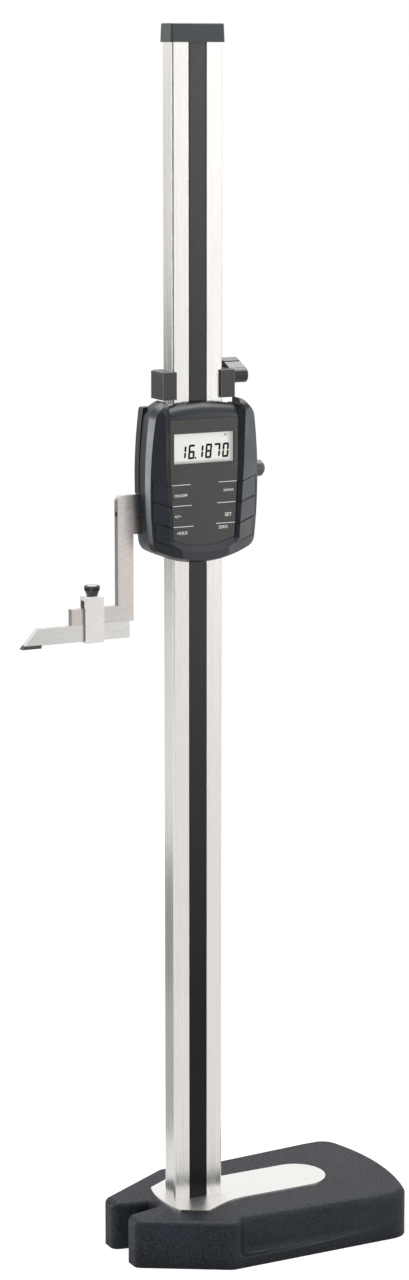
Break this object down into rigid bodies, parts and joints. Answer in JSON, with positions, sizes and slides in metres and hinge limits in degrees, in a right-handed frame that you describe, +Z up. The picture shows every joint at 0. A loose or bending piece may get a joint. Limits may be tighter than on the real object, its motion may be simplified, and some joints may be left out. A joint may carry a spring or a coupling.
{
  "type": "digital height gauge",
  "caption": "Digital height gauge: a grey cast base, a steel column, and a sliding head with a display, keys and a carbide scriber.",
  "frame": {"origin": "on the surface plate under the base, on the axis of the column", "axes": "+X along the base towards its round end, -Y towards the display side, +Z up along the column"},
  "size_m": [0.2617, 0.112, 0.794],
  "materials": {
    "crinkle_paint": "charcoal crinkle enamel on cast iron",
    "ground_steel": "fine ground and lapped",
    "jaw_steel": "ground along its length",
    "knurled_steel": "dark, straight knurl",
    "black_steel": "black oxide",
    "grey_metal": "satin dark grey on die-cast metal",
    "brass": "plain",
    "carbide": "ground grey hard metal",
    "dome_metal": "pressed spring metal",
    "cell_steel": "nickel-plated",
    "shell_plastic": "moulded, satin dark blue-grey",
    "key_plastic": "moulded, satin dark blue-grey",
    "knob_plastic": "moulded, satin grey",
    "lever_plastic": "moulded, glossy near-black",
    "cap_plastic": "moulded, satin grey",
    "label_film": "printed polyester film, matt dark grey",
    "scale_foil": "bonded measuring scale under dark film",
    "display_glass": "clear",
    "display_cell": "light reflective display",
    "board": "green solder resist"
  },
  "bodies": {
    "stand": {"base_casting": "crinkle_paint", "ground_pad": "ground_steel", "column": "ground_steel", "scale_strip": "scale_foil", "column_bolts": "black_steel", "top_cap": "cap_plastic", "cap_screws": "black_steel"},
    "head": {"slider_frame": "ground_steel", "gib_strip": "brass", "gib_screws": "black_steel", "jaw": "jaw_steel", "jaw_screws": "black_steel", "housing_front": "shell_plastic", "housing_rear": "shell_plastic", "housing_screws": "black_steel", "label_panel": "label_film", "display_window": "display_glass", "display_module": "display_cell", "circuit_board": "board", "key_domes": "dome_metal", "sensor_board": "board", "battery_contact": "dome_metal", "lock_plug": "brass", "feed_screw": "ground_steel"},
    "carriage": {"carriage_frame": "grey_metal", "clamp_plug": "brass"},
    "nut": {"feed_nut": "knurled_steel"},
    "lever": {"clamp_lever": "lever_plastic"},
    "lock": {"lock_knob": "knob_plastic"},
    "clamp": {"scriber_clamp": "jaw_steel"},
    "screw": {"clamp_screw": "knurled_steel"},
    "scribing_point": {"scriber": "jaw_steel", "carbide_tip": "carbide"},
    "battery": {"battery_tray": "shell_plastic", "coin_cell": "cell_steel"},
    "key_1_body": {"key_1": "key_plastic"},
    "key_2_body": {"key_2": "key_plastic"},
    "key_3_body": {"key_3": "key_plastic"},
    "key_4_body": {"key_4": "key_plastic"},
    "key_5_body": {"key_5": "key_plastic"},
    "key_6_body": {"key_6": "key_plastic"}
  },
  "joints": [
    {"name": "head_slide", "type": "slide", "parent": "stand", "child": "head", "axis": [0, 0, 1], "range_m": [-0.411, 0.1985]},
    {"name": "carriage_slide", "type": "slide", "parent": "head", "child": "carriage", "axis": [0, 0, 1], "range_m": [-0.0028, 0.0028]},
    {"name": "feed_nut_turn", "type": "hinge", "parent": "carriage", "child": "nut", "pos_m": [0, 0.0155, 0.57155], "axis": [0, 0, 1], "range_deg": [-1010, 1010]},
    {"name": "lever_swing", "type": "hinge", "parent": "carriage", "child": "lever", "pos_m": [0.031, 0, 0.57545], "axis": [1, 0, 0], "range_deg": [0, 80]},
    {"name": "lock_turn", "type": "hinge", "parent": "head", "child": "lock", "pos_m": [0.0445, 0, 0.5151], "axis": [1, 0, 0], "range_deg": [-90, 90]},
    {"name": "clamp_shift", "type": "slide", "parent": "head", "child": "clamp", "axis": [1, 0, 0], "range_m": [-0.008, 0.009]},
    {"name": "clamp_screw_turn", "type": "hinge", "parent": "clamp", "child": "screw", "pos_m": [-0.0708, 0, 0.44415], "axis": [0, 0, 1], "range_deg": [-180, 180]},
    {"name": "scriber_shift", "type": "slide", "parent": "head", "child": "scribing_point", "axis": [1, 0, 0], "range_m": [-0.012, 0.01]},
    {"name": "battery_draw", "type": "slide", "parent": "head", "child": "battery", "axis": [0, 0, -1], "range_m": [0, 0.0135]},
    {"name": "key_1_press", "type": "slide", "parent": "head", "child": "key_1_body", "axis": [0, 1, 0], "range_m": [0, 0.0005], "stiffness_N_per_m": 1500},
    {"name": "key_2_press", "type": "slide", "parent": "head", "child": "key_2_body", "axis": [0, 1, 0], "range_m": [0, 0.0005], "stiffness_N_per_m": 1500},
    {"name": "key_3_press", "type": "slide", "parent": "head", "child": "key_3_body", "axis": [0, 1, 0], "range_m": [0, 0.0005], "stiffness_N_per_m": 1500},
    {"name": "key_4_press", "type": "slide", "parent": "head", "child": "key_4_body", "axis": [0, 1, 0], "range_m": [0, 0.0005], "stiffness_N_per_m": 1500},
    {"name": "key_5_press", "type": "slide", "parent": "head", "child": "key_5_body", "axis": [0, 1, 0], "range_m": [0, 0.0005], "stiffness_N_per_m": 1500},
    {"name": "key_6_press", "type": "slide", "parent": "head", "child": "key_6_body", "axis": [0, 1, 0], "range_m": [0, 0.0005], "stiffness_N_per_m": 1500}
  ],
  "couplings": [
    {"joint": "feed_nut_turn", "follows": "carriage_slide", "rad_per_m": 6283.2}
  ]
}
